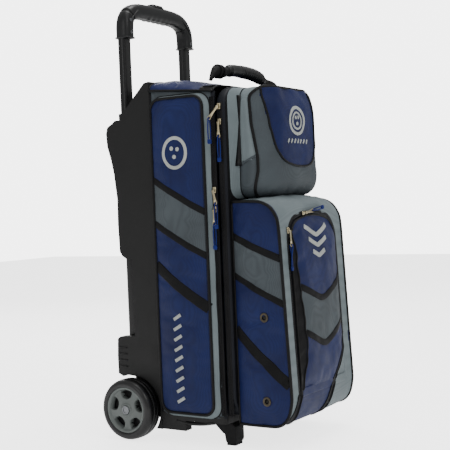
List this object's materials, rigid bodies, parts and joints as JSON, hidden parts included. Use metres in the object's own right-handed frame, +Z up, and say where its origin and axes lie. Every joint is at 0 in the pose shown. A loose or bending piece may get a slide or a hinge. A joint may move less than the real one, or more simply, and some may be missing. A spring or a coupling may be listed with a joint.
{
  "type": "rolling bowling bag",
  "caption": "Upright rolling bag for bowling balls and shoes, with wheels, a telescoping pull handle, a swing-open front door, a shoe compartment and an accessory pouch.",
  "frame": {"origin": "On the floor, at the middle of the footprint, with the free zip cords left out.", "axes": "+Z up along the bag's height, -Y towards the front with the shoe flap, X across the bag along the axle."},
  "size_m": [0.3644, 0.4456, 0.93],
  "materials": {
    "shell": "matt black textured moulding",
    "foot_rubber": "matt black rubber",
    "side_fabric": "light grey woven polyester, padded",
    "blue_fabric": "navy ripstop polyester with black piping",
    "dark_fabric": "charcoal woven polyester",
    "light_fabric": "light grey woven polyester",
    "foam": "black fabric covered foam",
    "tube": "black anodised aluminium",
    "grip": "satin black moulded grip",
    "screw": "dark steel",
    "button": "semi-gloss black",
    "tyre": "smooth black urethane",
    "rim": "grey moulded rim",
    "bearing": "steel",
    "zip": "black coil zip",
    "zip_metal": "champagne nickel",
    "cord": "navy cord",
    "grommet": "black eyelet",
    "webbing": "black webbing",
    "carry_grip": "grey-black ribbed rubber"
  },
  "bodies": {
    "bag": {"back_shell": "shell", "base_tray": "shell", "foot_left": "shell", "foot_right": "shell", "foot_pads": "foot_rubber", "side_wall_left": "side_fabric", "side_wall_right": "side_fabric", "side_pocket_left": "blue_fabric", "side_pocket_right": "blue_fabric", "body_top": "blue_fabric", "ball_cup_lower": "foam", "ball_cup_middle": "foam", "ball_cup_upper": "foam", "tube_collars": "shell", "outer_tube_left": "tube", "outer_tube_right": "tube", "axle": "bearing", "axle_nuts": "bearing", "rear_zip": "zip", "handle_anchors": "webbing"},
    "left_wheel": {"tyre_left": "tyre", "rim_left": "rim", "wheel_bearings_left": "bearing"},
    "right_wheel": {"tyre_right": "tyre", "rim_right": "rim", "wheel_bearings_right": "bearing"},
    "pull_handle": {"inner_tube_left": "tube", "inner_tube_right": "tube", "grip": "grip", "grip_screws": "screw"},
    "button": {"release_button": "button"},
    "ball_door": {"door_panel": "dark_fabric", "shoe_compartment": "blue_fabric", "grommets": "grommet", "accessory_pouch": "light_fabric", "front_zip": "zip", "flap_zip": "zip"},
    "shoe_flap": {"shoe_flap": "blue_fabric"},
    "pouch_lid": {"pouch_lid": "blue_fabric"},
    "carry_handle": {"carry_strap": "webbing", "carry_grip": "carry_grip"},
    "slider_front_upper": {"slider_front_upper": "zip_metal"},
    "pull_front_upper": {"pull_front_upper": "zip_metal", "cord_front_upper": "cord"},
    "slider_front_lower": {"slider_front_lower": "zip_metal"},
    "pull_front_lower": {"pull_front_lower": "zip_metal", "cord_front_lower": "cord"},
    "slider_rear_upper": {"slider_rear_upper": "zip_metal"},
    "pull_rear_upper": {"pull_rear_upper": "zip_metal", "cord_rear_upper": "cord"},
    "slider_rear_lower": {"slider_rear_lower": "zip_metal"},
    "pull_rear_lower": {"pull_rear_lower": "zip_metal", "cord_rear_lower": "cord"},
    "slider_flap_side": {"slider_flap_side": "zip_metal"},
    "pull_flap_side": {"pull_flap_side": "zip_metal", "cord_flap_side": "cord"},
    "slider_flap_top": {"slider_flap_top": "zip_metal"},
    "pull_flap_top": {"pull_flap_top": "zip_metal", "cord_flap_top": "cord"}
  },
  "joints": [
    {"name": "left_wheel_spin", "type": "hinge", "parent": "bag", "child": "left_wheel", "pos_m": [-0.1596, 0.15945, 0.0635], "axis": [1, 0, 0], "continuous": true},
    {"name": "right_wheel_spin", "type": "hinge", "parent": "bag", "child": "right_wheel", "pos_m": [0.1596, 0.15945, 0.0635], "axis": [1, 0, 0], "continuous": true},
    {"name": "handle_slide", "type": "slide", "parent": "bag", "child": "pull_handle", "axis": [0, 0, 1], "range_m": [-0.158, 0]},
    {"name": "button_press", "type": "slide", "parent": "pull_handle", "child": "button", "axis": [0, 0, 1], "range_m": [-0.004, 0], "stiffness_N_per_m": 300},
    {"name": "door_swing", "type": "hinge", "parent": "bag", "child": "ball_door", "pos_m": [0.152, -0.07055, 0.377], "axis": [0, 0, 1], "range_deg": [0, 100]},
    {"name": "flap_fold", "type": "hinge", "parent": "ball_door", "child": "shoe_flap", "pos_m": [0, -0.21186, 0.112], "axis": [1, 0, 0], "range_deg": [0, 85]},
    {"name": "lid_swing", "type": "hinge", "parent": "ball_door", "child": "pouch_lid", "pos_m": [0.111, -0.10665, 0.603], "axis": [0, 0, 1], "range_deg": [0, 100]},
    {"name": "carry_swing", "type": "hinge", "parent": "bag", "child": "carry_handle", "pos_m": [0, -0.05555, 0.721], "axis": [1, 0, 0], "range_deg": [-38, 38]},
    {"name": "slide_front_upper", "type": "slide", "parent": "ball_door", "child": "slider_front_upper", "axis": [0, 0, -1], "range_m": [-0.008, 0.015]},
    {"name": "flip_front_upper", "type": "hinge", "parent": "slider_front_upper", "child": "pull_front_upper", "pos_m": [-0.15585, -0.08218, 0.67519], "axis": [0, 0.829, 0.5593], "range_deg": [0, 110]},
    {"name": "slide_front_lower", "type": "slide", "parent": "ball_door", "child": "slider_front_lower", "axis": [0, 0, -1], "range_m": [0, 0.5]},
    {"name": "flip_front_lower", "type": "hinge", "parent": "slider_front_lower", "child": "pull_front_lower", "pos_m": [-0.15485, -0.08205, 0.645], "axis": [0, 1, 0], "range_deg": [0, 110]},
    {"name": "slide_rear_upper", "type": "slide", "parent": "bag", "child": "slider_rear_upper", "axis": [0, 0, -1], "range_m": [-0.06, 0.01]},
    {"name": "flip_rear_upper", "type": "hinge", "parent": "slider_rear_upper", "child": "pull_rear_upper", "pos_m": [-0.15869, -0.06598, 0.51118], "axis": [0, 0.9368, -0.35], "range_deg": [0, 110]},
    {"name": "slide_rear_lower", "type": "slide", "parent": "bag", "child": "slider_rear_lower", "axis": [0, 0, -1], "range_m": [0, 0.33]},
    {"name": "flip_rear_lower", "type": "hinge", "parent": "slider_rear_lower", "child": "pull_rear_lower", "pos_m": [-0.15785, -0.06605, 0.473], "axis": [0, 1, 0], "range_deg": [0, 110]},
    {"name": "slide_flap_side", "type": "slide", "parent": "ball_door", "child": "slider_flap_side", "axis": [0, -0.0458, -0.999], "range_m": [0, 0.24]},
    {"name": "flip_flap_side", "type": "hinge", "parent": "slider_flap_side", "child": "pull_flap_side", "pos_m": [-0.1019, -0.20489, 0.42703], "axis": [-1, 0, 0], "range_deg": [0, 110]},
    {"name": "slide_flap_top", "type": "hinge", "parent": "ball_door", "child": "slider_flap_top", "pos_m": [0, -0.20689, 0.21167], "axis": [0, -0.999, 0.0458], "range_deg": [-9, 12]},
    {"name": "flip_flap_top", "type": "hinge", "parent": "slider_flap_top", "child": "pull_flap_top", "pos_m": [-0.03101, -0.20338, 0.45997], "axis": [0.1279, -0.0454, -0.9907], "range_deg": [0, 110]}
  ]
}
